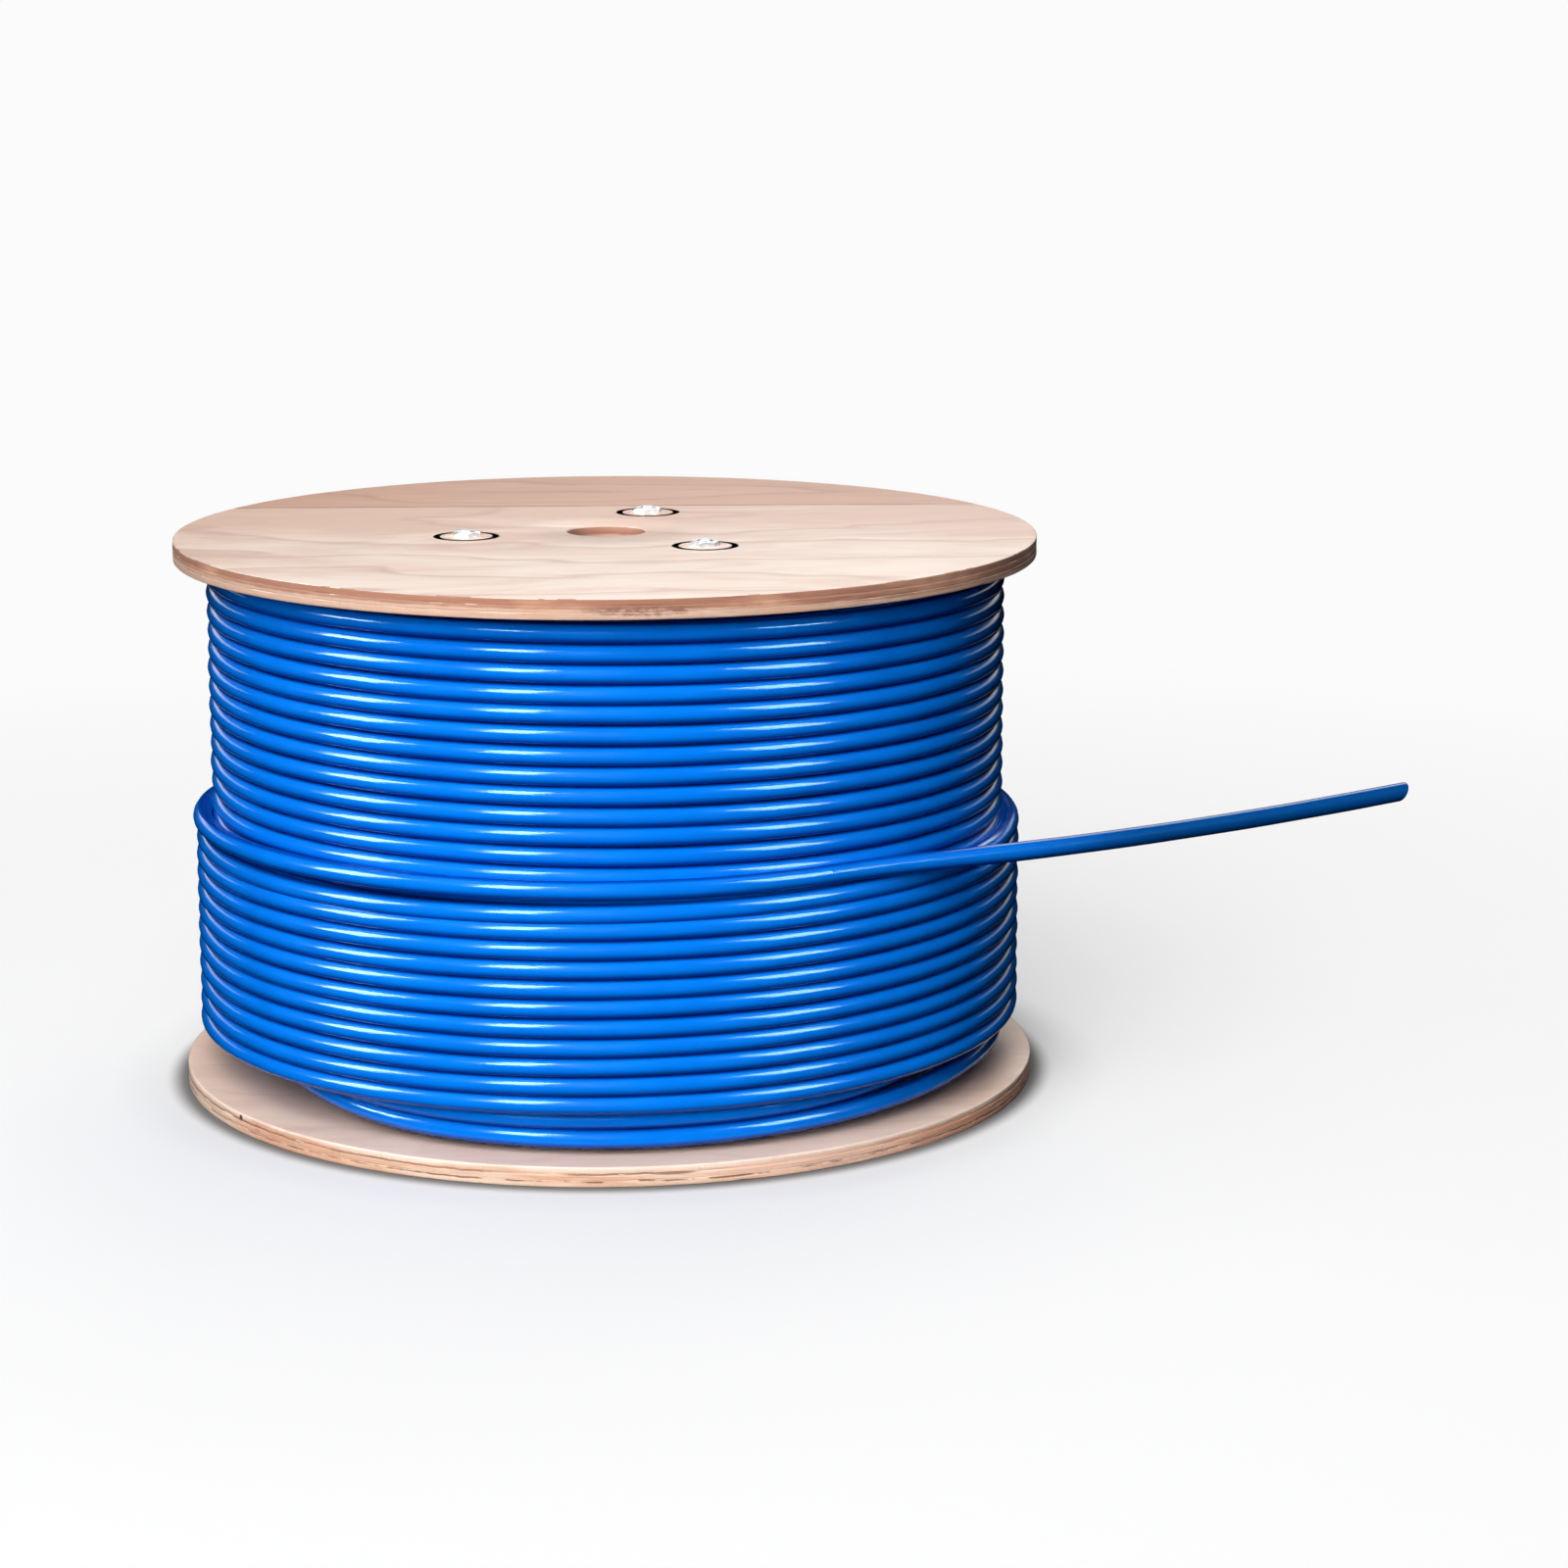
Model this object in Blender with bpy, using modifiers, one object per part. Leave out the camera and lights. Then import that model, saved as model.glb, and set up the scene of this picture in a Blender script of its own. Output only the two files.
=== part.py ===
"""Plywood cable reel, wound with network cable, standing on its lower flange.

Two plywood flanges hold a paperboard barrel between them. Three tie bolts run inside the barrel,
through dished washers let into both flanges. The cable lies on the barrel in full layers and one
outer layer that is half used up; its last turn leaves the winding at the front and runs out level.
Metres, +Z up the reel's axis, origin at the middle of the lower flange's underside.
"""

import math

import bmesh
import bpy
from mathutils import Matrix, Vector

# Reel
FLANGE_RADIUS = 0.165
FLANGE_THICKNESS = 0.0075
FLANGE_EDGE = 0.0006
REEL_HEIGHT = 0.211
ARBOR_RADIUS = 0.015
FIT_GAP = 0.0003

# Barrel tube, seated in a ring groove in each flange
BARREL_INNER_RADIUS = 0.067
BARREL_OUTER_RADIUS = 0.073
BARREL_GROOVE_DEPTH = 0.0025

# Tie bolts (M6), their nuts and their dished washers
BOLT_CIRCLE_RADIUS = 0.0546
BOLT_ANGLES_DEG = (72.5, 192.5, 312.5)
BOLT_RADIUS = 0.003
BOLT_TIP_ABOVE_NUT = 0.0006
BOLT_TIP_CHAMFER = 0.0005
BOLT_HEAD_RADIUS = 0.008
BOLT_HEAD_RIM = 0.0008
BOLT_HEAD_HEIGHT = 0.003
HOLE_CLEARANCE = 0.0005
NUT_ACROSS_FLATS = 0.010
NUT_HEIGHT = 0.0052
NUT_CHAMFER = 0.0006
WASHER_RIM_RADIUS = 0.013
WASHER_SHEET = 0.0012
WASHER_CUP_DEPTH = 0.0036
WASHER_MOUTH_RADIUS = 0.0093
WASHER_FLOOR_RADIUS = 0.0085
FOOT_INSET = 0.0002

# Cable and its winding
CABLE_RADIUS = 0.0036
TURN_PITCH = 0.0072
WINDING_TOP = 0.1998
WINDING_BOTTOM = FLANGE_THICKNESS + FIT_GAP
FULL_LAYER_BOTTOM = 0.0110
FULL_LAYER_INNER_RADIUS = 0.1457
FULL_LAYER_OUTER_RADIUS = 0.1519
OUTER_LAYER_BOTTOM = 0.0230
OUTER_LAYER_INNER_RADIUS = 0.1522
OUTER_LAYER_OUTER_RADIUS = 0.1594
LAST_TURN_RADIUS = 0.1559
LAST_TURN_START_DEG = 0.0
LAST_TURN_FRONT_HEIGHT = 0.1055
LEAVING_DEG = 300.0
LAST_TURN_POINTS = 52

# Free end: distance run from the winding and height at that distance, chosen by hand
TAIL_ROUTE = (
    (0.000, 0.1061),
    (0.030, 0.1059),
    (0.070, 0.1047),
    (0.110, 0.1038),
    (0.150, 0.1035),
    (0.195, 0.1038),
    (0.235, 0.1047),
    (0.269, 0.1058),
)
TAIL_STEPS_PER_SPAN = 3

FLANGE_SEGMENTS = 72
RING_SEGMENTS = 64
SMALL_SEGMENTS = 24

REEL_NAME = "cable_reel"
CUTTERS_NAME = "cutters"


def clear_scene():
    """Empty the scene of whatever objects it opened with."""
    for obj in list(bpy.data.objects):
        bpy.data.objects.remove(obj, do_unlink=True)


def new_collection(name):
    """A collection of its own in the scene."""
    group = bpy.data.collections.new(name)
    bpy.context.scene.collection.children.link(group)
    return group


def material(name, colour, roughness, metallic=0.0):
    """A Principled material with one colour."""
    mat = bpy.data.materials.new(name)
    mat.use_nodes = True
    shader = mat.node_tree.nodes["Principled BSDF"]
    shader.inputs["Base Color"].default_value = (*colour, 1.0)
    shader.inputs["Roughness"].default_value = roughness
    shader.inputs["Metallic"].default_value = metallic
    return mat


def turned(name, profile, closed, segments, mat, group):
    """A profile of (radius, height) points turned about Z; it runs down its outer side."""
    links = [(i, i + 1) for i in range(len(profile) - 1)]
    if closed:
        links.append((len(profile) - 1, 0))
    mesh = bpy.data.meshes.new(name)
    mesh.from_pydata([(radius, 0.0, height) for radius, height in profile], links, [])
    obj = bpy.data.objects.new(name, mesh)
    group.objects.link(obj)
    screw = obj.modifiers.new("turn", "SCREW")
    screw.axis = "Z"
    screw.angle = math.tau
    screw.steps = segments
    screw.render_steps = segments
    screw.use_merge_vertices = True
    screw.merge_threshold = 1e-5
    screw.use_smooth_shade = True
    if mat:
        mesh.materials.append(mat)
    return obj


def as_cutter(obj):
    """Show an object as a wire tool that isn't part of the model."""
    obj.hide_render = True
    obj.display_type = "WIRE"
    return obj


def boolean(obj, tool, operation):
    """Cut or trim an object with a tool object."""
    cut = obj.modifiers.new(tool.name, "BOOLEAN")
    cut.operation = operation
    cut.solver = "EXACT"
    cut.object = tool


def bolt_places():
    """Number and position of each tie bolt about the axis."""
    for number, degrees in enumerate(BOLT_ANGLES_DEG, start=1):
        angle = math.radians(degrees)
        x = BOLT_CIRCLE_RADIUS * math.cos(angle)
        y = BOLT_CIRCLE_RADIUS * math.sin(angle)
        yield number, x, y


def flange_profile():
    """Section of a flange: outer face at height 0, barrel groove in the inner face below."""
    edge = FLANGE_EDGE
    inner_face = -FLANGE_THICKNESS
    groove_roof = inner_face + BARREL_GROOVE_DEPTH
    return [
        (ARBOR_RADIUS + edge, 0.0),
        (FLANGE_RADIUS - edge, 0.0),
        (FLANGE_RADIUS, -edge),
        (FLANGE_RADIUS, inner_face + edge),
        (FLANGE_RADIUS - edge, inner_face),
        (BARREL_OUTER_RADIUS + FIT_GAP, inner_face),
        (BARREL_OUTER_RADIUS + FIT_GAP, groove_roof),
        (BARREL_INNER_RADIUS - FIT_GAP, groove_roof),
        (BARREL_INNER_RADIUS - FIT_GAP, inner_face),
        (ARBOR_RADIUS, inner_face),
        (ARBOR_RADIUS, -edge),
    ]


def recess_profile():
    """Section of the stepped hole for a dished washer and its bolt, outer face at height 0."""
    clear = FLANGE_THICKNESS
    rim_floor = -WASHER_SHEET - FIT_GAP
    cup_floor = rim_floor - WASHER_CUP_DEPTH
    rim_radius = WASHER_RIM_RADIUS + FIT_GAP
    cup_radius = WASHER_MOUTH_RADIUS + WASHER_SHEET + FIT_GAP
    hole_radius = BOLT_RADIUS + HOLE_CLEARANCE
    return [
        (0.0, clear),
        (rim_radius, clear),
        (rim_radius, rim_floor),
        (cup_radius, rim_floor),
        (cup_radius, cup_floor),
        (hole_radius, cup_floor),
        (hole_radius, -2 * clear),
        (0.0, -2 * clear),
    ]


def washer_profile():
    """Section of a dished washer, its rim's outer face at height 0 and its cup below."""
    floor_top = -WASHER_CUP_DEPTH
    floor_under = floor_top - WASHER_SHEET
    hole_radius = BOLT_RADIUS + FIT_GAP
    return [
        (WASHER_MOUTH_RADIUS, 0.0),
        (WASHER_RIM_RADIUS, 0.0),
        (WASHER_RIM_RADIUS, -WASHER_SHEET),
        (WASHER_MOUTH_RADIUS + WASHER_SHEET, -WASHER_SHEET),
        (WASHER_FLOOR_RADIUS + WASHER_SHEET, floor_under),
        (hole_radius, floor_under),
        (hole_radius, floor_top),
        (WASHER_FLOOR_RADIUS, floor_top),
    ]


def make_flanges(mat, group, cutters):
    """Lower and upper flange, each with three stepped holes for washers and bolts."""
    for name, height, flip in (
        ("bottom_flange", 0.0, math.pi),
        ("top_flange", REEL_HEIGHT, 0.0),
    ):
        flange = turned(name, flange_profile(), True, FLANGE_SEGMENTS, mat, group)
        flange.location.z = height
        flange.rotation_euler.x = flip
        for number, x, y in bolt_places():
            hole = turned(
                f"{name}_hole_{number}", recess_profile(), False, SMALL_SEGMENTS, None, cutters
            )
            hole.location = (x, y, height)
            hole.rotation_euler.x = flip
            boolean(flange, as_cutter(hole), "DIFFERENCE")


def make_barrel(mat, group):
    """Paperboard tube, its ends in the flanges' grooves."""
    bottom = FLANGE_THICKNESS - BARREL_GROOVE_DEPTH + FIT_GAP
    top = REEL_HEIGHT - bottom
    profile = [
        (BARREL_INNER_RADIUS, top),
        (BARREL_OUTER_RADIUS, top),
        (BARREL_OUTER_RADIUS, bottom),
        (BARREL_INNER_RADIUS, bottom),
    ]
    turned("barrel_tube", profile, True, RING_SEGMENTS, mat, group)


def make_washers(mat, group):
    """A dished washer at each end of each tie bolt."""
    for number, x, y in bolt_places():
        top = turned(
            f"top_washer_{number}", washer_profile(), True, SMALL_SEGMENTS, mat, group
        )
        top.location = (x, y, REEL_HEIGHT)
        bottom = turned(
            f"bottom_washer_{number}", washer_profile(), True, SMALL_SEGMENTS, mat, group
        )
        bottom.location = (x, y, FOOT_INSET)
        bottom.rotation_euler.x = math.pi


def nut_floor():
    """Height of a nut's underside, just above its washer's cup floor."""
    return REEL_HEIGHT - WASHER_CUP_DEPTH + FIT_GAP


def make_bolts(mat, group):
    """Domed bolts, head down in the lower washer's cup, running up through the nut."""
    head_seat = FOOT_INSET + WASHER_CUP_DEPTH - FIT_GAP
    head_face = head_seat - BOLT_HEAD_HEIGHT
    rim_top = head_seat - BOLT_HEAD_RIM
    tip = nut_floor() + NUT_HEIGHT + BOLT_TIP_ABOVE_NUT
    dome_depth = rim_top - head_face
    dome = []
    for step in range(5):
        turn = math.radians(90.0 * step / 5)
        dome.append(
            (BOLT_HEAD_RADIUS * math.cos(turn), rim_top - dome_depth * math.sin(turn))
        )
    profile = [
        (0.0, tip),
        (BOLT_RADIUS - BOLT_TIP_CHAMFER, tip),
        (BOLT_RADIUS, tip - BOLT_TIP_CHAMFER),
        (BOLT_RADIUS, head_seat),
        (BOLT_HEAD_RADIUS, head_seat),
        *dome,
        (0.0, head_face),
    ]
    for number, x, y in bolt_places():
        bolt = turned(f"tie_bolt_{number}", profile, False, SMALL_SEGMENTS, mat, group)
        bolt.location = (x, y, 0.0)


def make_nuts(mat, group, cutters):
    """Hexagon nuts with turned chamfers, in the upper washers' cups."""
    flat_radius = NUT_ACROSS_FLATS / 2
    corner_radius = flat_radius / math.cos(math.radians(30.0))
    outside = corner_radius + NUT_CHAMFER
    form = [
        (BOLT_RADIUS + FIT_GAP, NUT_HEIGHT),
        (flat_radius, NUT_HEIGHT),
        (outside, NUT_HEIGHT - NUT_CHAMFER),
        (outside, NUT_CHAMFER),
        (flat_radius, 0.0),
        (BOLT_RADIUS + FIT_GAP, 0.0),
    ]
    for number, x, y in bolt_places():
        bpy.ops.mesh.primitive_cylinder_add(
            vertices=6, radius=corner_radius, depth=NUT_HEIGHT
        )
        nut = bpy.context.object
        nut.name = f"nut_{number}"
        nut.data.transform(Matrix.Translation((0.0, 0.0, NUT_HEIGHT / 2)))
        nut.location = (x, y, nut_floor())
        nut.data.materials.append(mat)
        for holder in list(nut.users_collection):
            holder.objects.unlink(nut)
        group.objects.link(nut)
        tool = turned(f"nut_form_{number}", form, True, SMALL_SEGMENTS, None, cutters)
        tool.location = nut.location
        boolean(nut, as_cutter(tool), "INTERSECT")


def ring(name, inner, outer, bottom, top, mat, group):
    """A plain turned ring that holds the place of wound cable."""
    profile = [(inner, top), (outer, top), (outer, bottom), (inner, bottom)]
    return turned(name, profile, True, RING_SEGMENTS, mat, group)


def make_winding(mat, group):
    """Inner layers, the outermost full layer, and the outer layer up to its last turn."""
    outer_layer_top = last_turn_point(0.0).z - CABLE_RADIUS - FIT_GAP
    ring(
        "cable_inner_layers",
        BARREL_OUTER_RADIUS + FIT_GAP,
        FULL_LAYER_INNER_RADIUS - FIT_GAP,
        WINDING_BOTTOM,
        WINDING_TOP,
        mat,
        group,
    )
    ring(
        "cable_full_layer",
        FULL_LAYER_INNER_RADIUS,
        FULL_LAYER_OUTER_RADIUS,
        FULL_LAYER_BOTTOM,
        WINDING_TOP,
        mat,
        group,
    )
    ring(
        "cable_outer_layer",
        OUTER_LAYER_INNER_RADIUS,
        OUTER_LAYER_OUTER_RADIUS,
        OUTER_LAYER_BOTTOM,
        outer_layer_top,
        mat,
        group,
    )


def last_turn_point(share):
    """A point of the last turn, from its start (0) to where it leaves the winding (1)."""
    degrees = LAST_TURN_START_DEG + (LEAVING_DEG - LAST_TURN_START_DEG) * share
    angle = math.radians(degrees)
    height = LAST_TURN_FRONT_HEIGHT + TURN_PITCH * (degrees - 270.0) / 360.0
    return Vector(
        (LAST_TURN_RADIUS * math.cos(angle), LAST_TURN_RADIUS * math.sin(angle), height)
    )


def tail_route_points():
    """The free end's route points, set out along the tangent where the cable leaves."""
    angle = math.radians(LEAVING_DEG)
    outward = Vector((math.cos(angle), math.sin(angle), 0.0))
    along = Vector((-math.sin(angle), math.cos(angle), 0.0))
    for run, height in TAIL_ROUTE:
        place = outward * LAST_TURN_RADIUS + along * run
        yield Vector((place.x, place.y, height))


def smooth_through(points, steps):
    """Points of a smooth curve through the given ones (Catmull-Rom)."""
    ends = [points[0] * 2 - points[1], *points, points[-1] * 2 - points[-2]]
    curve = []
    for before, start, end, after in zip(ends, ends[1:], ends[2:], ends[3:]):
        for step in range(steps):
            t = step / steps
            curve.append(
                0.5
                * (
                    2 * start
                    + (end - before) * t
                    + (2 * before - 5 * start + 4 * end - after) * t * t
                    + (3 * start - before - 3 * end + after) * t * t * t
                )
            )
    curve.append(points[-1].copy())
    return curve


def cable_tube(name, points, mat, group):
    """A length of cable along the points, as a closed mesh with welded end caps."""
    curve = bpy.data.curves.new(name, "CURVE")
    curve.dimensions = "3D"
    curve.bevel_depth = CABLE_RADIUS
    curve.bevel_resolution = 3
    curve.use_fill_caps = True
    curve.render_resolution_u = 0
    spline = curve.splines.new("POLY")
    spline.points.add(len(points) - 1)
    for slot, point in zip(spline.points, points):
        slot.co = (*point, 1.0)
    guide = bpy.data.objects.new(name + "_guide", curve)
    group.objects.link(guide)
    graph = bpy.context.evaluated_depsgraph_get()
    mesh = bpy.data.meshes.new_from_object(guide.evaluated_get(graph))
    mesh.name = name
    tube = bmesh.new()
    tube.from_mesh(mesh)
    bmesh.ops.remove_doubles(tube, verts=tube.verts, dist=1e-5)
    bmesh.ops.recalc_face_normals(tube, faces=tube.faces)
    tube.to_mesh(mesh)
    tube.free()
    mesh.materials.clear()
    mesh.materials.append(mat)
    mesh.shade_smooth()
    obj = bpy.data.objects.new(name, mesh)
    obj.matrix_world = guide.matrix_world
    group.objects.link(obj)
    bpy.data.objects.remove(guide, do_unlink=True)
    return obj


def make_last_turn(mat, group):
    """The last turn on the winding, up to the point where the cable leaves it."""
    shares = [i / (LAST_TURN_POINTS - 1) for i in range(LAST_TURN_POINTS)]
    cable_tube("cable_last_turn", [last_turn_point(s) for s in shares], mat, group)


def make_tail(mat, group):
    """The cable's free end, running out level from the last turn."""
    points = smooth_through(list(tail_route_points()), TAIL_STEPS_PER_SPAN)
    lead = (points[1] - points[0]).normalized()
    points[0] = points[0] + lead * 2 * FIT_GAP
    cable_tube("cable_tail", points, mat, group)


def main():
    """Build the reel, its hardware and its winding."""
    clear_scene()
    reel = new_collection(REEL_NAME)
    cutters = new_collection(CUTTERS_NAME)
    plywood = material("plywood", (0.80, 0.62, 0.47), 0.55)
    paperboard = material("paperboard", (0.38, 0.27, 0.17), 0.8)
    zinc = material("zinc_plated_steel", (0.55, 0.56, 0.58), 0.3, 1.0)
    jacket = material("cable_jacket", (0.005, 0.15, 0.72), 0.25)
    make_flanges(plywood, reel, cutters)
    make_barrel(paperboard, reel)
    make_washers(zinc, reel)
    make_bolts(zinc, reel)
    make_nuts(zinc, reel, cutters)
    make_winding(jacket, reel)
    make_last_turn(jacket, reel)
    make_tail(jacket, reel)


main()
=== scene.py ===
"""Looks for the plywood cable reel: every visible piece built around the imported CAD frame."""

import math

import bmesh
import bpy
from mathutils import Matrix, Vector, noise


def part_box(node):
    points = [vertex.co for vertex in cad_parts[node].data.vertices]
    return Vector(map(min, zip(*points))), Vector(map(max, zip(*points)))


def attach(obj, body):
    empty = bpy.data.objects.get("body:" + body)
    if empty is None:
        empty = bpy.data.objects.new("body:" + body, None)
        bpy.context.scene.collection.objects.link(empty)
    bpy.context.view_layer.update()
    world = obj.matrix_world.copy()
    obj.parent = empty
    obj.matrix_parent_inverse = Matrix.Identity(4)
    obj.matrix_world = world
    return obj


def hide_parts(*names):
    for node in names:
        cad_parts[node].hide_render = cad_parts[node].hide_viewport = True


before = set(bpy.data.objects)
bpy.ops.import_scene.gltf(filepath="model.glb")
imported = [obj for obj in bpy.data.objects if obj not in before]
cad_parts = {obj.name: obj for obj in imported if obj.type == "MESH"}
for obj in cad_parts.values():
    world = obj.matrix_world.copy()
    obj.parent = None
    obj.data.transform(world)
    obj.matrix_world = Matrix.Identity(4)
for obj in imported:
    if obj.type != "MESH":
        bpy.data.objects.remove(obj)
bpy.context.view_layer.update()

BODY = "root"
FULL = math.tau

# ---------------------------------------------------------------- sizes read from the frame

_top_low, _top_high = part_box("top_flange")
REEL_TOP = _top_high.z
UPPER_FACE = _top_low.z
FLANGE_RADIUS = _top_high.x
PLY_STACK = _top_high.z - _top_low.z
WASHER_TOPS = [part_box(f"top_washer_{i}") for i in (1, 2, 3)]
WASHER_FEET = [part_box(f"bottom_washer_{i}") for i in (1, 2, 3)]
WASHER_RADIUS = (WASHER_TOPS[0][1].x - WASHER_TOPS[0][0].x) / 2
BOLT_CENTRES = [((a.x + b.x) / 2, (a.y + b.y) / 2) for a, b in WASHER_TOPS]
NUT_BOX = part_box("nut_1")
BOLT_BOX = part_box("tie_bolt_1")
BARREL_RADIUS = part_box("barrel_tube")[1].x

# ---------------------------------------------------------------- sizes of the fine pieces

ARBOR_RADIUS = 0.015
CABLE_RADIUS = 0.0036
FULL_LAYER_RADIUS = 0.1493
OUTER_LAYER_RADIUS = 0.1558
FULL_LAYER_PITCH = 0.00725
OUTER_LAYER_PITCH = 0.0071
FULL_LAYER_TOP = 0.1962
LAST_TURN_FRONT_HEIGHT = 0.1055
FULL_LAYER_TURNS = 23
OUTER_LAYER_TURNS = 11
FRONT_DEG = 270.0
LEAVING_DEG = 300.0
WINDING_START_DEG = 65.0
RISE_DEG = 70.0
CALM_DEG = 60.0
HIGHEST_TURN = 0.1989
BOTTOM_STEPS = 12
STEP_DEG = 2.5
TUBE_SIDES = 16

# The free end: distance run from the winding and height at that distance, as in the CAD
TAIL_ROUTE = (
    (0.000, 0.1061),
    (0.030, 0.1059),
    (0.070, 0.1047),
    (0.110, 0.1038),
    (0.150, 0.1035),
    (0.195, 0.1038),
    (0.235, 0.1047),
    (0.269, 0.1058),
)
TAIL_STEPS = 6
LAST_TURN_RADIUS = 0.1559

# The cut: its slant, and the conductors and separator that show in it
CUT_SLANT = 0.0020
ROD_SIDES = 14
PAIR_REACH = 0.00172
HALF_PAIR = 0.00052
COVER_RADIUS = 0.00050
CORE_RADIUS = 0.00028
BLADE_HALF_WIDTH = 0.0027
BLADE_HALF_THICKNESS = 0.00018

# Veneers: each flange's noise seed and the place along Y where its two sheets meet
LOWER_SEED, LOWER_SEAM = 5.2, 0.094
UPPER_SEED, UPPER_SEAM = 2.4, 0.0725

FLOOR_GLOW = 0.965
FLOOR_SHADE = 0.82

# Camera: place, downward tilt and turn to the right
CAMERA_PLACE = (0.0, -1.5151, 0.4275)
CAMERA_TILT_DEG = 11.784
CAMERA_TURN_DEG = 2.579
CAMERA_LENS = 91.24


# ---------------------------------------------------------------- node helpers


class Shader:
    """A small builder for one material's node tree."""

    def __init__(self, name):
        self.mat = bpy.data.materials.new(name)
        self.mat.use_nodes = True
        self.tree = self.mat.node_tree
        self.tree.nodes.clear()
        self.out = self.add("ShaderNodeOutputMaterial")
        self.bsdf = self.add("ShaderNodeBsdfPrincipled")
        self.link(self.bsdf.outputs[0], self.out.inputs[0])

    def add(self, kind, **values):
        node = self.tree.nodes.new(kind)
        for key, value in values.items():
            setattr(node, key, value)
        return node

    def link(self, source, target):
        self.tree.links.new(source, target)

    def put(self, socket, value):
        """Set a socket to a constant, or link it to another node's output."""
        if isinstance(value, bpy.types.NodeSocket):
            self.link(value, socket)
        else:
            socket.default_value = value

    def place(self, scale=(1.0, 1.0, 1.0), shift=(0.0, 0.0, 0.0)):
        """Object coordinates, scaled and shifted."""
        coords = self.add("ShaderNodeTexCoord")
        mapping = self.add("ShaderNodeMapping")
        mapping.inputs["Scale"].default_value = scale
        mapping.inputs["Location"].default_value = shift
        self.link(coords.outputs["Object"], mapping.inputs["Vector"])
        return mapping.outputs["Vector"]

    def noise(self, vector, scale, detail=3.0, rough=0.5, distortion=0.0):
        node = self.add("ShaderNodeTexNoise")
        self.link(vector, node.inputs["Vector"])
        node.inputs["Scale"].default_value = scale
        node.inputs["Detail"].default_value = detail
        node.inputs["Roughness"].default_value = rough
        node.inputs["Distortion"].default_value = distortion
        return node.outputs["Fac"]

    def ramp(self, value, stops):
        """A colour ramp through (position, colour) stops."""
        node = self.add("ShaderNodeValToRGB")
        self.put(node.inputs["Fac"], value)
        element = node.color_ramp.elements
        element[0].position, first = stops[0]
        element[0].color = _rgba(first)
        element[1].position, last = stops[-1]
        element[1].color = _rgba(last)
        for position, colour in stops[1:-1]:
            element.new(position).color = _rgba(colour)
        return node.outputs["Color"]

    def math(self, kind, a, b=0.0):
        node = self.add("ShaderNodeMath", operation=kind)
        self.put(node.inputs[0], a)
        self.put(node.inputs[1], b)
        return node.outputs[0]

    def mix(self, factor, a, b):
        """Colour a at factor 0, colour b at factor 1."""
        node = self.add("ShaderNodeMix", data_type="RGBA")
        self.put(node.inputs["Factor"], factor)
        self.put(node.inputs[6], _rgba(a) if isinstance(a, tuple) else a)
        self.put(node.inputs[7], _rgba(b) if isinstance(b, tuple) else b)
        return node.outputs[2]

    def bump(self, height, strength, distance, before=None):
        node = self.add("ShaderNodeBump")
        node.inputs["Strength"].default_value = strength
        node.inputs["Distance"].default_value = distance
        self.link(height, node.inputs["Height"])
        if before:
            self.link(before, node.inputs["Normal"])
        return node.outputs["Normal"]

    def finish(self, **sockets):
        """Set the shader's sockets, named with underscores, and hand over the material."""
        for name, value in sockets.items():
            self.put(self.bsdf.inputs[name.replace("_", " ")], value)
        return self.mat


def _rgba(colour):
    return (*colour, 1.0) if len(colour) == 3 else colour


def band(s, value, low, high, soft):
    """1 where value lies between low and high, with soft edges."""
    up = s.add("ShaderNodeMapRange", clamp=True)
    s.put(up.inputs["Value"], value)
    up.inputs["From Min"].default_value = low - soft
    up.inputs["From Max"].default_value = low + soft
    down = s.add("ShaderNodeMapRange", clamp=True)
    s.put(down.inputs["Value"], value)
    down.inputs["From Min"].default_value = high + soft
    down.inputs["From Max"].default_value = high - soft
    return s.math("MULTIPLY", up.outputs[0], down.outputs[0])


def spot(s, centre, radii, soft=0.25):
    """1 inside an ellipsoid about a centre, with a soft boundary."""
    scale = tuple(1.0 / r for r in radii)
    shift = tuple(-c / r for c, r in zip(centre, radii))
    reach = s.add("ShaderNodeVectorMath", operation="LENGTH")
    s.link(s.place(scale=scale, shift=shift), reach.inputs[0])
    inside = s.add("ShaderNodeMapRange", interpolation_type="SMOOTHSTEP")
    s.link(reach.outputs["Value"], inside.inputs["Value"])
    inside.inputs["From Min"].default_value = 1.0 + soft
    inside.inputs["From Max"].default_value = 1.0 - soft
    return inside.outputs[0]


def slope(s, value, start, end):
    """0 at start, rising smoothly to 1 at end."""
    node = s.add("ShaderNodeMapRange", interpolation_type="SMOOTHSTEP")
    s.put(node.inputs["Value"], value)
    node.inputs["From Min"].default_value = start
    node.inputs["From Max"].default_value = end
    return node.outputs[0]


# ---------------------------------------------------------------- materials


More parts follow.
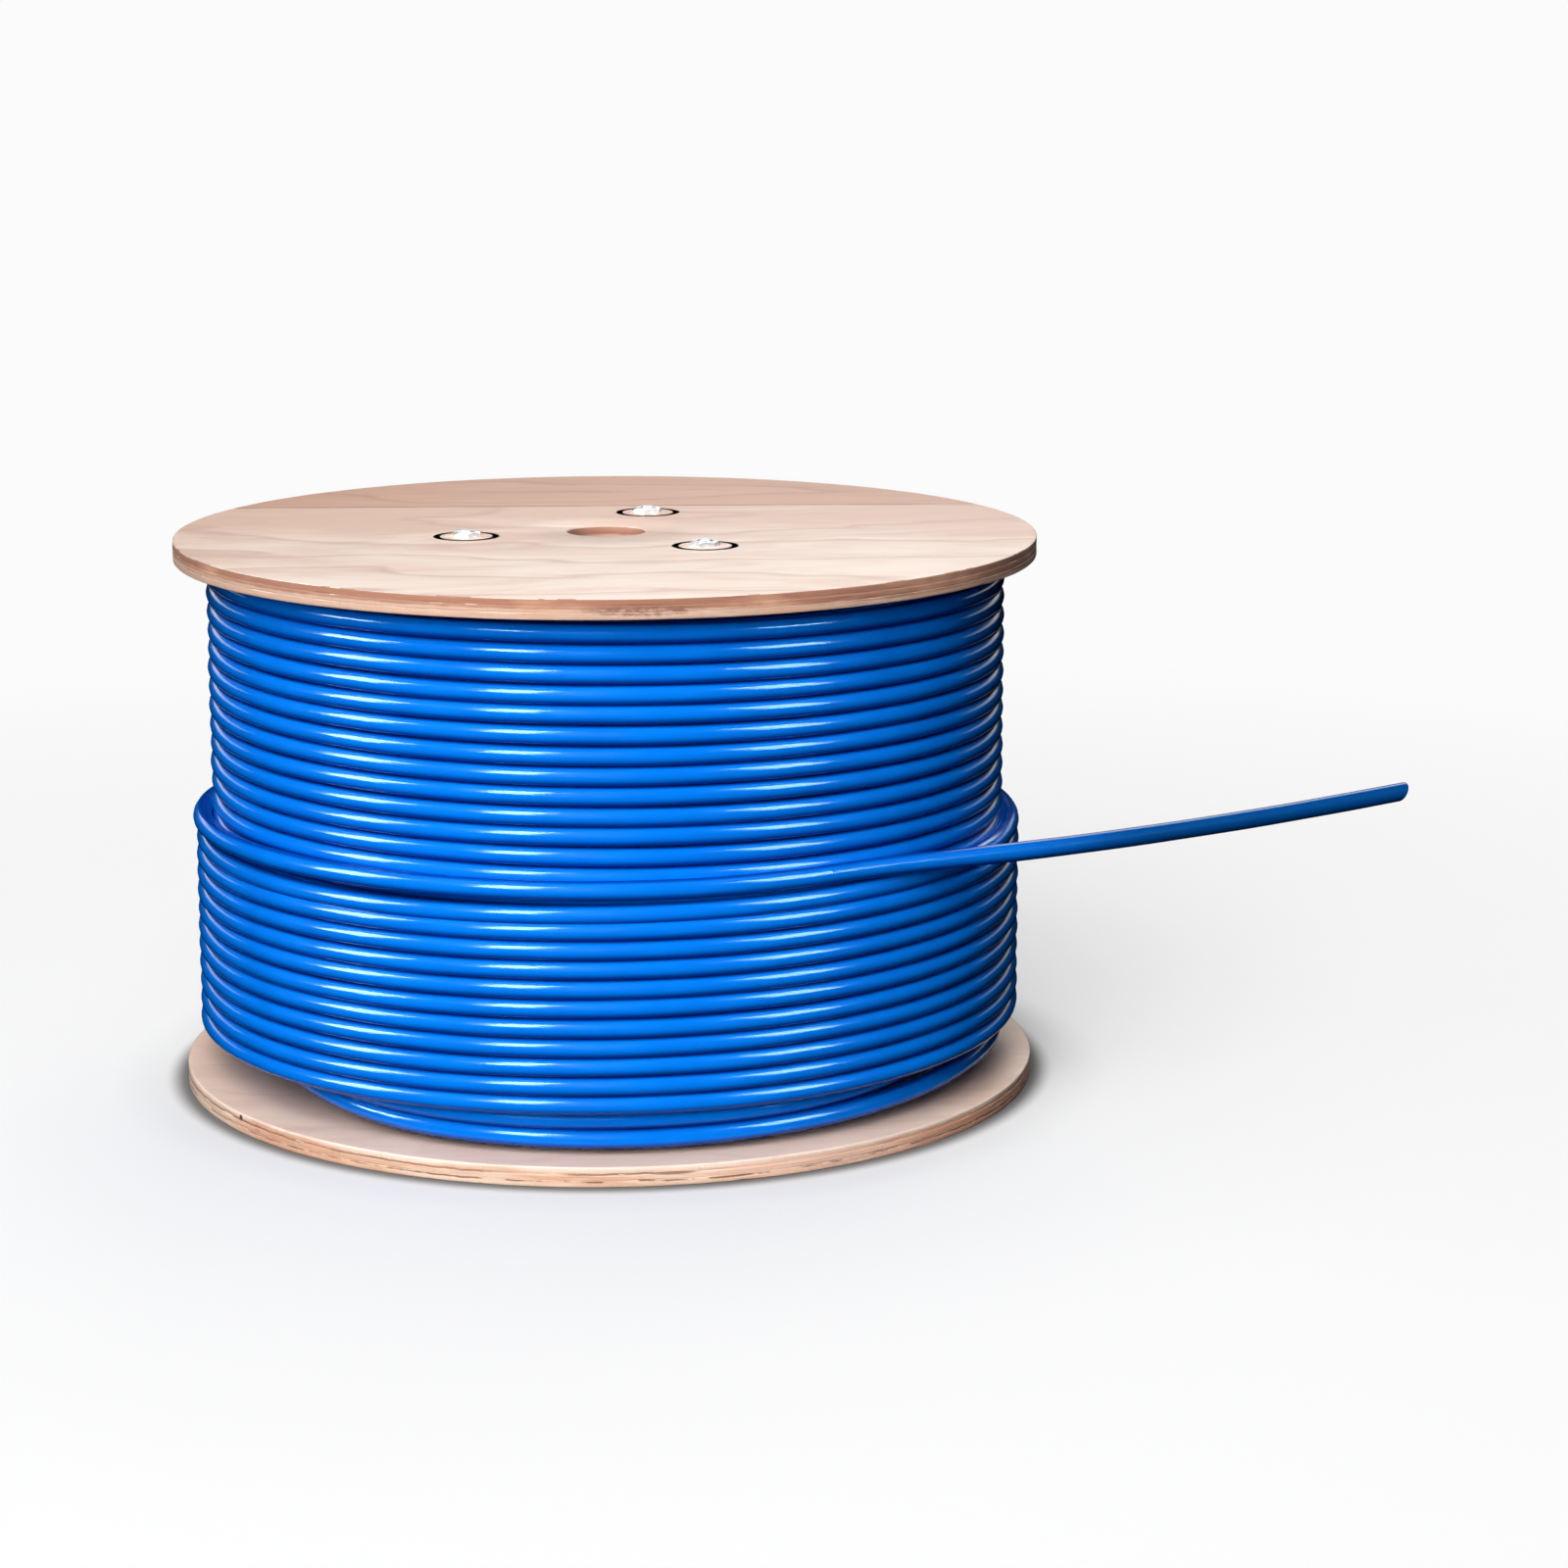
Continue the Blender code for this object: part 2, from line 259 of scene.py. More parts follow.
def jacket_material():
    """Glossy blue cable jacket, darkened to navy by painted shade on the strands' undersides and in
    the grooves, and by painted shade towards the right.
    """
    s = Shader("blue_jacket")
    fine = s.place()
    tone = s.noise(fine, 38.0, 4.0)
    blue = s.ramp(
        tone, [(0.25, (0.0006, 0.165, 0.74)), (0.75, (0.0012, 0.200, 0.86))]
    )
    normal = s.add("ShaderNodeSeparateXYZ")
    s.link(s.add("ShaderNodeNewGeometry").outputs["Normal"], normal.inputs[0])
    # Painted shade: the blue deepens to navy where the jacket's surface faces downward.
    under = s.add("ShaderNodeMapRange", interpolation_type="SMOOTHSTEP")
    s.link(normal.outputs["Z"], under.inputs["Value"])
    under.inputs["From Min"].default_value = -0.08
    under.inputs["From Max"].default_value = -0.78
    blue = s.mix(under.outputs[0], blue, (0.0002, 0.042, 0.36))
    # Painted shade: darker where a strand's top faces up into the groove under the strand above.
    painted_groove_shade = slope(s, normal.outputs["Z"], 0.74, 0.98)
    blue = s.mix(s.math("MULTIPLY", painted_groove_shade, 0.9), blue, (0.0002, 0.047, 0.38))
    place = s.add("ShaderNodeSeparateXYZ")
    s.link(fine, place.inputs[0])
    # Painted shade: the cable turns darker towards the right, over the free end.
    painted_shade_right = slope(s, place.outputs["X"], 0.13, 0.21)
    blue = s.mix(s.math("MULTIPLY", painted_shade_right, 0.85), blue, (0.0008, 0.055, 0.22))
    dust = s.ramp(s.noise(fine, 900.0, 2.0), [(0.68, (0, 0, 0)), (0.80, (1, 1, 1))])
    dusty = s.mix(s.math("MULTIPLY", dust, 0.02), blue, (0.25, 0.40, 0.75))
    rough = s.ramp(
        s.noise(fine, 160.0, 3.0), [(0.3, (0.12, 0.12, 0.12)), (0.7, (0.17, 0.17, 0.17))]
    )
    waves = s.bump(s.noise(fine, 320.0, 2.0), 0.05, 0.0003)
    grain = s.bump(s.noise(fine, 2600.0, 2.0), 0.03, 0.0001, waves)
    return s.finish(
        Base_Color=dusty,
        Roughness=rough,
        Normal=grain,
        Specular_IOR_Level=0.22,
        Specular_Tint=(0.50, 0.88, 1.0, 1.0),
    )


def contour_lines(s, field, count, width):
    """Thin growth-ring lines where a field passes whole numbers, soft on one side."""
    phase = s.math("FRACT", s.math("MULTIPLY", field, count))
    stops = [(0.0, (1, 1, 1)), (width, (0.25, 0.25, 0.25)), (0.55, (0, 0, 0)), (0.93, (0, 0, 0))]
    return s.ramp(phase, [*stops, (1.0, (1, 1, 1))])


def wood_grain(s, seed, pale, warm, line, nest, figure):
    """Rotary-cut veneer: nested contour figure, clouds, fibres and pores along X."""
    x, y, length, width = nest
    warp = s.noise(s.place(scale=(10.0, 22.0, 1.0), shift=(seed, seed * 0.7, 0.0)), 1.0, 2.0)
    scale = (1.0 / length, 1.0 / width, 0.0)
    shift = (-x / length, -y / width, 0.0)
    reach = s.add("ShaderNodeVectorMath", operation="LENGTH")
    s.link(s.place(scale=scale, shift=shift), reach.inputs[0])
    field = s.math("ADD", reach.outputs["Value"], s.math("MULTIPLY", warp, 1.9))
    contour = contour_lines(s, field, 1.05, 0.12)
    fine_lines = contour_lines(s, field, 2.1, 0.30)
    fibre_place = s.place(scale=(34.0, 620.0, 60.0), shift=(seed * 3, 0.0, 0.0))
    fibres = s.noise(fibre_place, 1.0, 4.0, 0.6)
    cloud = s.noise(s.place(scale=(9.0, 24.0, 1.0), shift=(0.0, seed, 0.0)), 1.0, 4.0, 0.6, 1.2)
    split = s.add("ShaderNodeSeparateXYZ")
    s.link(s.place(), split.inputs[0])
    # Partly veneer tone and partly painted shade: the face turns warmer and darker towards the
    # rear, positive Y.
    painted_rear_shade_and_tone = slope(s, split.outputs["Y"], -0.10, 0.075)
    warmth_and_rear_shade = s.math("ADD", s.math("MULTIPLY", cloud, 1.7), s.math("MULTIPLY", painted_rear_shade_and_tone, 0.55))
    base = s.mix(slope(s, warmth_and_rear_shade, 0.62, 1.38), pale, warm)
    figured = s.mix(s.math("MULTIPLY", contour, 0.60 * figure), base, line)
    figured = s.mix(s.math("MULTIPLY", fine_lines, 0.07 * figure), figured, line)
    fibred = s.mix(
        s.ramp(fibres, [(0.48, (0, 0, 0)), (0.82, (0.17, 0.17, 0.17))]), figured, line
    )
    pore_place = s.place(scale=(70.0, 1500.0, 90.0), shift=(0.0, seed, 0.0))
    pores = s.ramp(
        s.noise(pore_place, 1.0, 2.0), [(0.70, (0, 0, 0)), (0.80, (0.35, 0.35, 0.35))]
    )
    return s.mix(pores, fibred, (0.42, 0.24, 0.16)), fibres, pores


def face_material(name, seed, joint_y, front_tones, figure):
    """A flange's face: two veneer sheets that meet along a line, the rear one redder."""
    s = Shader(name)
    front, fibres, pores = wood_grain(
        s, seed, *front_tones, (0.52, 0.32, 0.24), (0.035, 0.044, 0.110, 0.042), figure
    )
    rear, _, _ = wood_grain(
        s, seed + 4.3, (0.66, 0.405, 0.295), (0.56, 0.320, 0.225), (0.40, 0.21, 0.14),
        (-0.03, 0.115, 0.12, 0.030), figure,
    )
    split = s.add("ShaderNodeSeparateXYZ")
    s.link(s.place(), split.inputs[0])
    waver = s.math("MULTIPLY", s.noise(s.place(scale=(6.0, 0.0, 0.0)), 1.0, 2.0), 0.003)
    across = s.math("ADD", split.outputs["Y"], waver)
    colour = s.mix(s.math("GREATER_THAN", across, joint_y), front, rear)
    seam = band(s, across, joint_y - 0.0010, joint_y + 0.0010, 0.0006)
    broken = s.ramp(
        s.noise(s.place(scale=(30.0, 0.0, 0.0), shift=(seed, 0.0, 0.0)), 1.0, 2.0),
        [(0.36, (0.35, 0.35, 0.35)), (0.50, (0.95, 0.95, 0.95))],
    )
    colour = s.mix(s.math("MULTIPLY", seam, broken), colour, (0.22, 0.10, 0.06))
    height = s.math("SUBTRACT", fibres, s.math("MULTIPLY", pores, 0.8))
    rough = s.ramp(fibres, [(0.3, (0.42, 0.42, 0.42)), (0.7, (0.56, 0.56, 0.56))])
    return s.finish(
        Base_Color=colour,
        Roughness=rough,
        Normal=s.bump(height, 0.22, 0.0004),
        Specular_IOR_Level=0.35,
    )


def edge_parts(s, seed, base_z):
    """Shared parts of the sawn edges: height share, streaks, specks and position."""
    split = s.add("ShaderNodeSeparateXYZ")
    s.link(s.place(), split.inputs[0])
    sway = s.noise(s.place(scale=(9.0, 9.0, 0.0), shift=(seed, 0.0, 0.0)), 1.0, 2.0)
    ragged = s.noise(s.place(scale=(160.0, 160.0, 60.0), shift=(seed, 0.0, 0.0)), 1.0, 3.0)
    sway = s.math("MULTIPLY", s.math("SUBTRACT", sway, 0.5), 0.0016)
    ragged = s.math("MULTIPLY", s.math("SUBTRACT", ragged, 0.5), 0.0010)
    up = s.math("ADD", split.outputs["Z"], s.math("ADD", sway, ragged))
    share = s.math("DIVIDE", s.math("SUBTRACT", up, base_z), PLY_STACK)
    long_place = s.place(scale=(40.0, 40.0, 900.0), shift=(seed, seed, 0.0))
    streaks = s.noise(long_place, 1.0, 4.0, 0.6)
    specks = s.noise(s.place(scale=(900.0, 900.0, 300.0)), 1.0, 3.0, 0.6)
    return split, share, streaks, specks


def finish_edge(s, wood, streaks, specks, lines):
    """Common dull, slightly torn surface of a sawn edge."""
    wood = s.mix(
        s.ramp(streaks, [(0.45, (0, 0, 0)), (0.80, (0.25, 0.25, 0.25))]), wood, (0.42, 0.22, 0.13)
    )
    wood = s.mix(
        s.ramp(specks, [(0.58, (0, 0, 0)), (0.80, (0.30, 0.30, 0.30))]), wood, (0.30, 0.15, 0.09)
    )
    relief = s.math("SUBTRACT", streaks, s.math("MULTIPLY", lines, 1.5))
    return s.finish(
        Base_Color=wood,
        Roughness=s.ramp(specks, [(0.3, (0.6, 0.6, 0.6)), (0.7, (0.8, 0.8, 0.8))]),
        Normal=s.bump(relief, 0.35, 0.0004),
        Specular_IOR_Level=0.3,
    )


def upper_edge_material(seed, base_z):
    """The upper flange's edge: a brown upper ply over pale ones, with a knot at the front."""
    s = Shader("upper_flange_edge")
    split, share, streaks, specks = edge_parts(s, seed, base_z)
    browner = slope(s, split.outputs["X"], 0.02, 0.11)
    limit = s.math("SUBTRACT", 0.52, s.math("MULTIPLY", browner, 0.34))
    above = s.math("SUBTRACT", share, limit)
    wood = s.mix(slope(s, above, -0.07, 0.07), (0.66, 0.42, 0.30), (0.40, 0.16, 0.09))
    patch = s.noise(s.place(scale=(30.0, 30.0, 90.0), shift=(seed, 0.0, 0.0)), 1.0, 3.0)
    wood = s.mix(
        s.ramp(patch, [(0.50, (0, 0, 0)), (0.66, (0.7, 0.7, 0.7))]), wood, (0.66, 0.36, 0.21)
    )
    lines = band(s, share, 0.93, 1.05, 0.03)
    wood = s.mix(s.math("MULTIPLY", lines, 0.55), wood, (0.28, 0.13, 0.07))
    knot = spot(s, (0.012, -0.1645, base_z + 0.0032), (0.019, 0.02, 0.0019), 0.35)
    mottled = s.ramp(
        s.noise(s.place(scale=(420.0, 420.0, 700.0)), 1.0, 3.0),
        [(0.35, (0.2, 0.2, 0.2)), (0.60, (0.95, 0.95, 0.95))],
    )
    wood = s.mix(s.math("MULTIPLY", knot, mottled), wood, (0.26, 0.10, 0.06))
    return finish_edge(s, wood, streaks, specks, knot)


def lower_edge_material(seed, base_z):
    """The lower flange's edge: three pale plies, broken glue lines, stains and a nail."""
    s = Shader("lower_flange_edge")
    split, share, streaks, specks = edge_parts(s, seed, base_z)
    pale, peach, orange = (0.90, 0.64, 0.48), (0.95, 0.60, 0.44), (0.90, 0.42, 0.25)
    wood = s.mix(slope(s, split.outputs["X"], 0.015, 0.05), pale, peach)
    wood = s.mix(slope(s, split.outputs["X"], 0.085, 0.13), wood, orange)
    wood = s.mix(slope(s, share, 0.78, 0.86), wood, (0.97, 0.77, 0.64))
    stain = spot(s, (-0.118, -0.115, 0.0035), (0.027, 0.04, 0.0034), 0.5)
    blotch = s.ramp(
        s.noise(s.place(scale=(120.0, 120.0, 240.0)), 1.0, 3.0),
        [(0.32, (0.25, 0.25, 0.25)), (0.60, (1, 1, 1))],
    )
    wood = s.mix(s.math("MULTIPLY", stain, blotch), wood, (0.74, 0.24, 0.12))
    stain_place = s.place(scale=(14.0, 14.0, 120.0), shift=(seed * 2, seed, seed))
    stains = s.ramp(
        s.noise(stain_place, 1.0, 3.0, 0.55), [(0.53, (0, 0, 0)), (0.64, (0.85, 0.85, 0.85))]
    )
    wood = s.mix(stains, wood, (0.76, 0.42, 0.26))
    line_a = band(s, share, 0.60, 0.69, 0.03)
    line_b = band(s, share, 0.24, 0.34, 0.03)
    run_a = s.ramp(
        s.noise(s.place(scale=(26.0, 26.0, 4.0), shift=(seed, 0.0, 0.0)), 1.0, 3.0),
        [(0.36, (0.1, 0.1, 0.1)), (0.46, (1, 1, 1))],
    )
    run_a = s.math("MULTIPLY", run_a, slope(s, split.outputs["X"], 0.034, 0.020))
    run_b = s.ramp(
        s.noise(s.place(scale=(75.0, 75.0, 4.0), shift=(0.0, seed, 0.0)), 1.0, 3.0),
        [(0.46, (0, 0, 0)), (0.54, (1, 1, 1))],
    )
    lines = s.math(
        "MAXIMUM", s.math("MULTIPLY", line_a, run_a), s.math("MULTIPLY", line_b, run_b)
    )
    gash = spot(s, (0.022, -0.1635, 0.0047), (0.0075, 0.01, 0.00055), 0.4)
    lines = s.math("MAXIMUM", lines, gash)
    wood = s.mix(s.math("MULTIPLY", lines, 0.92), wood, (0.26, 0.10, 0.05))
    nail = spot(s, (-0.1373, -0.0915, 0.0058), (0.0011, 0.0011, 0.0011), 0.2)
    wood = s.mix(nail, wood, (0.02, 0.015, 0.015))
    return finish_edge(s, wood, streaks, specks, lines)


def zinc_material(name, tone, low, metal):
    """Zinc-plated steel: cloudy plating with fine scratches."""
    s = Shader(name)
    cloud = s.noise(s.place(), 420.0, 4.0)
    scratch = s.noise(s.place(scale=(300.0, 4200.0, 900.0)), 1.0, 3.0)
    light = tuple(min(1.0, c * 1.12) for c in tone)
    dark = tuple(c * 0.82 for c in tone)
    return s.finish(
        Base_Color=s.ramp(cloud, [(0.3, dark), (0.7, light)]),
        Metallic=metal,
        Roughness=s.ramp(
            scratch, [(0.3, (low, low, low)), (0.75, (low + 0.2, low + 0.2, low + 0.2))]
        ),
        Normal=s.bump(scratch, 0.12, 0.0001),
    )


def paperboard_material():
    """Kraft paperboard with its spiral seam."""
    s = Shader("kraft_paperboard")
    pulp = s.noise(s.place(scale=(1.0, 1.0, 3.0)), 260.0, 5.0, 0.65)
    wave = s.add("ShaderNodeTexWave", wave_type="BANDS", bands_direction="Z")
    s.link(s.place(), wave.inputs["Vector"])
    wave.inputs["Scale"].default_value = 4.0
    wave.inputs["Distortion"].default_value = 0.4
    seam = s.ramp(wave.outputs["Fac"], [(0.0, (0.6, 0.6, 0.6)), (0.04, (0, 0, 0))])
    kraft = s.ramp(pulp, [(0.3, (0.30, 0.19, 0.11)), (0.7, (0.45, 0.31, 0.19))])
    return s.finish(
        Base_Color=s.mix(seam, kraft, (0.16, 0.09, 0.05)),
        Roughness=0.85,
        Normal=s.bump(pulp, 0.3, 0.0004),
    )


def plain_plastic(name, colour):
    """A small moulded or extruded plastic part, with a slight mottle."""
    s = Shader(name)
    mottle = s.noise(s.place(), 1800.0, 3.0)
    low = tuple(c * 0.88 for c in colour)
    return s.finish(
        Base_Color=s.ramp(mottle, [(0.3, low), (0.7, colour)]),
        Roughness=0.35,
        Normal=s.bump(mottle, 0.08, 0.0001),
    )


def copper_material():
    """Freshly cut copper."""
    s = Shader("bare_copper")
    grain = s.noise(s.place(), 5200.0, 3.0)
    return s.finish(
        Base_Color=s.ramp(grain, [(0.3, (0.72, 0.33, 0.17)), (0.7, (0.92, 0.52, 0.32))]),
        Metallic=1.0,
        Roughness=0.3,
        Normal=s.bump(grain, 0.1, 0.0001),
    )


def floor_material():
    """White studio floor: fully shaded under the reel, with a painted contact shadow under the rim
    and in a thin ring just outside it, fading to an even glow far away.
    """
    s = Shader("studio_floor")
    reach = s.add("ShaderNodeVectorMath", operation="LENGTH")
    s.link(s.place(), reach.inputs[0])
    share = s.ramp(
        reach.outputs["Value"],
        [(0.0, (1, 1, 1)), (0.168, (1, 1, 1)), (0.195, (0.55, 0.55, 0.55)),
         (0.34, (0.38, 0.38, 0.38)), (0.95, (0, 0, 0))],
    )
    # Painted contact shadow: the floor's brightness drops to about a fifth under the lower flange's
    # rim and in a thin ring just outside it.
    painted_contact_shadow_fade = slope(s, reach.outputs["Value"], 0.1655, 0.1745)
    bright = s.math("MULTIPLY", FLOOR_SHADE, s.math("ADD", 0.22, s.math("MULTIPLY", painted_contact_shadow_fade, 0.78)))
    white = s.mix(s.math("MULTIPLY", share, bright), (0.0, 0.0, 0.0), (1.0, 1.0, 1.0))
    glow = s.math("SUBTRACT", 1.0, share)
    return s.finish(
        Base_Color=white,
        Roughness=1.0,
        Specular_IOR_Level=0.0,
        Emission_Color=(FLOOR_GLOW, FLOOR_GLOW, FLOOR_GLOW, 1.0),
        Emission_Strength=glow,
    )


# ---------------------------------------------------------------- mesh helpers


def mesh_object(name, verts, faces, mats, smooth_angle=40.0):
    """A mesh object from points and faces, smooth except at sharp edges."""
    mesh = bpy.data.meshes.new(name)
    mesh.from_pydata([tuple(v) for v in verts], [], faces)
    for mat in mats:
        mesh.materials.append(mat)
    mesh.shade_smooth()
    mesh.set_sharp_from_angle(angle=math.radians(smooth_angle))
    obj = bpy.data.objects.new(name, mesh)
    bpy.context.scene.collection.objects.link(obj)
    return obj


def grid_faces(rows, columns, close_rows, close_columns):
    """Quads over a grid of points, closed round either way."""
    faces = []
    for i in range(rows if close_rows else rows - 1):
        for j in range(columns if close_columns else columns - 1):
            a = i * columns + j
            b = i * columns + (j + 1) % columns
            c = ((i + 1) % rows) * columns + (j + 1) % columns
            d = ((i + 1) % rows) * columns + j
            faces.append((a, b, c, d))
    return faces


def revolve(name, profile, segments, mats, closed=True, smooth_angle=40.0):
    """A profile of (radius, height) points turned about Z, running down its outer side."""
    verts = []
    for i in range(segments):
        turn = FULL * i / segments
        c, s = math.cos(turn), math.sin(turn)
        verts.extend((r * c, r * s, z) for r, z in profile)
    count = len(profile)
    faces = grid_faces(segments, count, True, closed)
    faces = [tuple(reversed(f)) for f in faces]
    obj = mesh_object(name, verts, faces, mats, smooth_angle)
    if not closed:
        weld(obj)
    return obj


def weld(obj, distance=1e-6):
    """Merge coincident points, such as those of a turned profile on its axis."""
    work = bmesh.new()
    work.from_mesh(obj.data)
    bmesh.ops.remove_doubles(work, verts=work.verts, dist=distance)
    bmesh.ops.dissolve_degenerate(work, edges=work.edges, dist=distance)
    work.to_mesh(obj.data)
    work.free()
    obj.data.set_sharp_from_angle(angle=math.radians(40.0))


def sweep(name, centres, radius_at, sides, mats, end_slant=0.0):
    """A tube along nearly level points, closed at its start; radius_at(run, turn) is its radius."""
    verts = []
    run = 0.0
    count = len(centres)
    for i, centre in enumerate(centres):
        if i:
            run += (centre - centres[i - 1]).length
        ahead = centres[min(i + 1, count - 1)]
        behind = centres[max(i - 1, 0)]
        along = (ahead - behind).normalized()
        side = along.cross(Vector((0.0, 0.0, 1.0))).normalized()
        up = side.cross(along)
        for j in range(sides):
            turn = FULL * j / sides
            radius = radius_at(run, turn)
            offset = side * (radius * math.cos(turn)) + up * (radius * math.sin(turn))
            if end_slant and i == count - 1:
                offset += along * (end_slant * math.sin(turn))
            verts.append(centre + offset)
    faces = grid_faces(count, sides, False, True)
    faces.append(tuple(range(sides)))
    faces = [tuple(reversed(f)) for f in faces]
    return mesh_object(name, verts, faces, mats, 50.0)


def apply_modifiers(obj):
    """Replace an object's mesh by its evaluated one."""
    graph = bpy.context.evaluated_depsgraph_get()
    mesh = bpy.data.meshes.new_from_object(obj.evaluated_get(graph))
    obj.modifiers.clear()
    obj.data = mesh


def boolean(obj, tools, operation="DIFFERENCE"):
    """Cut an object with other objects, then remove them."""
    for tool in tools:
        cut = obj.modifiers.new("cut", "BOOLEAN")
        cut.operation = operation
        cut.solver = "EXACT"
        cut.object = tool
    apply_modifiers(obj)
    for tool in tools:
        bpy.data.objects.remove(tool, do_unlink=True)


def fit(piece, slot, *nodes):
    """Ride on the reel and stand for CAD nodes; the slot argument is not used."""
    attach(piece, BODY)
    if nodes:
        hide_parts(*nodes)
    return piece


# ---------------------------------------------------------------- camera


def make_camera():
    """A long lens at eye height in front of the reel, turned a little to the right."""
    data = bpy.data.cameras.new("camera")
    data.sensor_width = 36.0
    data.lens = CAMERA_LENS
    data.clip_end = 200.0
    camera = bpy.data.objects.new("camera", data)
    camera.location = CAMERA_PLACE
    tilt, turn = math.radians(90.0 - CAMERA_TILT_DEG), math.radians(-CAMERA_TURN_DEG)
    camera.rotation_euler = (tilt, 0.0, turn)
    bpy.context.scene.collection.objects.link(camera)
    bpy.context.scene.camera = camera


# ---------------------------------------------------------------- cable


def smooth_through(points, steps):
    """Points of a smooth curve through the given ones (Catmull-Rom)."""
    ends = [points[0] * 2 - points[1], *points, points[-1] * 2 - points[-2]]
    curve = []
    for before, start, end, after in zip(ends, ends[1:], ends[2:], ends[3:]):
        for step in range(steps):
            t = step / steps
            curve.append(
                0.5
                * (
                    2 * start
                    + (end - before) * t
                    + (2 * before - 5 * start + 4 * end - after) * t * t
                    + (3 * start - before - 3 * end + after) * t * t * t
                )
            )
    curve.append(points[-1].copy())
    return curve


def tail_points():
    """The free end's centreline, along the tangent where the cable leaves the winding."""
    angle = math.radians(LEAVING_DEG)
    outward = Vector((math.cos(angle), math.sin(angle), 0.0)) * LAST_TURN_RADIUS
    along = Vector((-math.sin(angle), math.cos(angle), 0.0))
    route = []
    for run, height in TAIL_ROUTE:
        place = outward + along * run
        route.append(Vector((place.x, place.y, height)))
    return smooth_through(route, TAIL_STEPS)


def jacket_radius(run, turn):
    """The jacket's radius, with the faint lay of the twisted pairs beneath it."""
    lay = 0.052
    return CABLE_RADIUS * (1.0 + 0.006 * math.cos(2.0 * turn - FULL * run / lay))


# The cable's way round the bottom of the winding: degrees after the front of the full layer's
# last regular turn, radius and height. Two slack turns have dropped to the flange at the front.
BOTTOM_WAY = (
    (0, 0.1493, 0.02945),
    (90, 0.1493, 0.0276),
    (150, 0.1465, 0.0267),
    (210, 0.1434, 0.0262),
    (270, 0.1430, 0.0258),
    (305, 0.1455, 0.0240),
    (335, 0.1490, 0.0212),
    (360, 0.1493, 0.0206),
    (388, 0.1490, 0.0214),
    (415, 0.1455, 0.0240),
    (450, 0.1422, 0.0252),
    (510, 0.1412, 0.0250),
    (570, 0.1358, 0.0240),
    (630, 0.1358, 0.0232),
    (660, 0.1405, 0.0205),
    (688, 0.1474, 0.0150),
    (718, 0.1494, 0.0132),
    (745, 0.1497, 0.0142),
    (765, 0.1502, 0.0158),
    (784, 0.1504, 0.0181),
    (800, 0.1502, 0.0200),
    (822, 0.1465, 0.0222),
    (855, 0.1422, 0.0226),
    (890, 0.1445, 0.0208),
    (925, 0.1530, 0.0222),
    (955, 0.1558, 0.0248),
)


def swell(degrees, start, end):
    """A smooth hump of height 1 between two places along the winding."""
    share = (degrees - start) / (end - start)
    return math.sin(math.pi * share) ** 2 if 0.0 < share < 1.0 else 0.0


def wound_points():
    """The visible wound cable: full layer going down, slack turns, outer layer coming up."""
    way = []
    first_end = FRONT_DEG + 360.0 * FULL_LAYER_TURNS
    degrees = WINDING_START_DEG
    while degrees < first_end - 1e-6:
        height = FULL_LAYER_TOP - FULL_LAYER_PITCH * (degrees - FRONT_DEG) / 360.0
        rise = min(1.0, (degrees - WINDING_START_DEG) / RISE_DEG)
        radius = FULL_LAYER_RADIUS - 2 * CABLE_RADIUS * (1.0 - rise) ** 2
        way.append((degrees, radius, min(height, HIGHEST_TURN)))
        degrees += STEP_DEG
    knots = [Vector(k) for k in BOTTOM_WAY]
    for place in smooth_through(knots, BOTTOM_STEPS):
        way.append((first_end + place.x, place.y, place.z))
    front = first_end + 360.0 * 3
    degrees = way[-1][0] + STEP_DEG
    end = front + 360.0 * OUTER_LAYER_TURNS + (LEAVING_DEG - FRONT_DEG)
    first_height = LAST_TURN_FRONT_HEIGHT - OUTER_LAYER_PITCH * OUTER_LAYER_TURNS
    while degrees < end - 1e-6:
        height = first_height + OUTER_LAYER_PITCH * (degrees - front) / 360.0
        # The last turn stands off the winding, and the one below it is pressed down
        loose = swell(degrees, end - 160.0, end)
        pressed = swell(degrees, end - 360.0 - 170.0, end - 360.0 + 60.0)
        radius = OUTER_LAYER_RADIUS + 0.0015 * loose - 0.0006 * pressed
        way.append((degrees, radius, height + 0.0014 * loose - 0.0016 * pressed))
        degrees += STEP_DEG
    way.append((end, LAST_TURN_RADIUS, tail_points()[0].z))
    return way


def wander(degrees, seed, size):
    """A smooth seeded wander for one place along the winding."""
    return size * noise.noise(Vector((degrees / 47.0, seed, degrees / 360.0)))


def make_cable(jacket):
    """The wound cable as one continuous tube, ending where the free end begins."""
    way = wound_points()
    end = way[-1][0]
    centres = []
    for degrees, radius, height in way:
        calm = min(1.0, (end - degrees) / CALM_DEG)
        angle = math.radians(degrees)
        r = radius + calm * wander(degrees, 3.1, 0.00035)
        z = height + calm * wander(degrees, 8.7, 0.00040)
        centres.append(Vector((r * math.cos(angle), r * math.sin(angle), z)))
    tube = sweep("wound_cable", centres, jacket_radius, TUBE_SIDES, [jacket])
    return fit(
        tube, "cable_jacket", "cable_full_layer", "cable_outer_layer", "cable_last_turn"
    )


